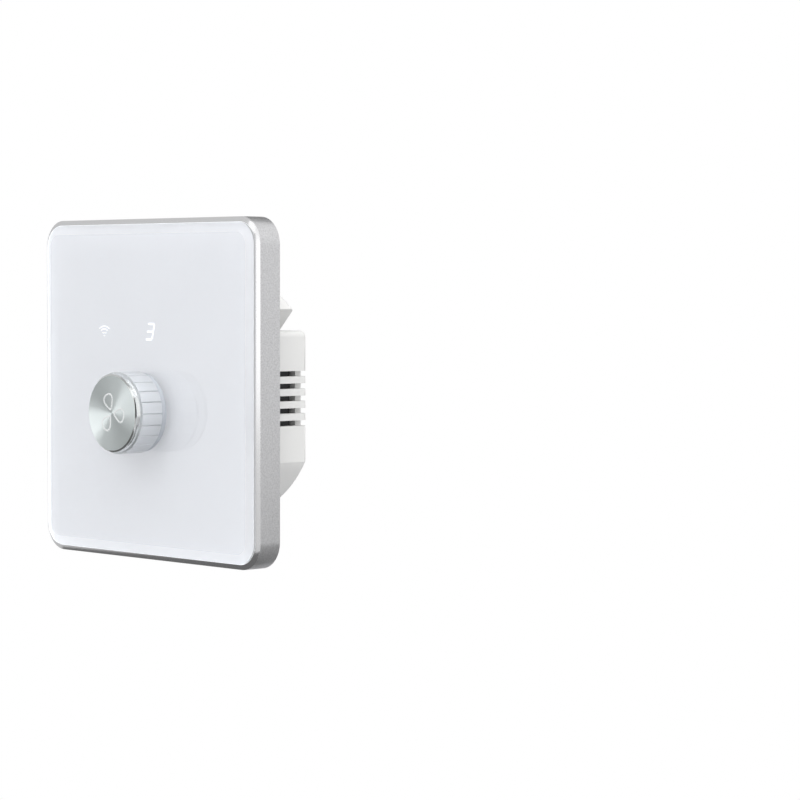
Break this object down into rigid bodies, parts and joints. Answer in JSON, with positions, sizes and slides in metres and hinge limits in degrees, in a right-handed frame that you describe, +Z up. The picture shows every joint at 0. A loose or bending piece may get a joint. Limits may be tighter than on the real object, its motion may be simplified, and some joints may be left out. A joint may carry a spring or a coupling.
{
  "type": "fan speed control switch",
  "caption": "Square glass wall switch with an aluminium frame, a push-and-turn speed knob and a lit speed figure, on a deep moulded rear housing with louvres and screw terminals.",
  "frame": {"origin": "middle of the two fixing slots, in the plane of the wall (the plate's back face)", "axes": "X to the right seen from the front, Z up, +Y into the wall; the front faces -Y"},
  "size_m": [0.086, 0.0419, 0.086],
  "materials": {
    "frame_aluminium": "sand-blasted with a polished chamfer",
    "front_glass": "toughened clear glass with ground edges",
    "white_film": "white print behind the glass",
    "carrier_plastic": "moulded white",
    "guide_plastic": "translucent white",
    "board_green": "solder resist",
    "black_plastic": "moulded black",
    "plated_steel": "plated",
    "encoder_plastic": "moulded tan",
    "rotor_plastic": "moulded",
    "shaft_steel": "turned",
    "hub_plastic": "moulded grey-blue",
    "knob_aluminium": "spun face, polished edges",
    "bracket_steel": "zinc plated",
    "housing_plastic": "moulded white",
    "capacitor_plastic": "moulded yellow",
    "ferrite": "sintered",
    "can_sleeve": "shrunk sleeve",
    "fuse_body": "ceramic and plated caps",
    "varistor_blue": "dipped",
    "terminal_plastic": "moulded light grey",
    "cage_brass": "plated brass"
  },
  "bodies": {
    "switch": {"bezel_frame": "frame_aluminium", "glass_panel": "front_glass", "printed_film": "white_film", "panel_carrier": "carrier_plastic", "digit_light_guide": "guide_plastic", "icon_light_guide": "guide_plastic", "display_board": "board_green", "display_header": "black_plastic", "control_board": "board_green", "controller_chip": "black_plastic", "wifi_module_board": "board_green", "wifi_shield": "plated_steel", "encoder_base": "encoder_plastic", "encoder_bushing": "plated_steel", "encoder_bracket": "plated_steel", "switch_dome": "plated_steel", "board_header": "black_plastic", "header_socket": "black_plastic", "board_screws": "plated_steel", "mounting_bracket": "bracket_steel", "rear_housing": "housing_plastic", "bracket_screws": "plated_steel", "power_board": "board_green", "power_board_screws": "plated_steel", "transformer": "ferrite", "bulk_capacitor": "can_sleeve", "fuse": "fuse_body", "varistor": "varistor_blue", "terminal_block": "terminal_plastic", "terminal_screws": "plated_steel", "relay_1": "black_plastic", "relay_2": "black_plastic", "relay_3": "black_plastic", "speed_capacitor_1": "capacitor_plastic", "speed_capacitor_2": "capacitor_plastic", "clamp_cage_1": "cage_brass", "clamp_cage_2": "cage_brass", "clamp_cage_3": "cage_brass", "clamp_cage_4": "cage_brass"},
    "rotor": {"encoder_rotor": "rotor_plastic"},
    "knob": {"encoder_shaft": "shaft_steel", "knob_hub": "hub_plastic", "knob_cap": "knob_aluminium"}
  },
  "joints": [
    {"name": "knob_turn", "type": "hinge", "parent": "switch", "child": "rotor", "pos_m": [0, 0, -0.00563], "axis": [0, 1, 0], "continuous": true},
    {"name": "knob_press", "type": "slide", "parent": "rotor", "child": "knob", "axis": [0, 1, 0], "range_m": [0, 0.0005], "stiffness_N_per_m": 2000, "springref_m": -0.001}
  ]
}
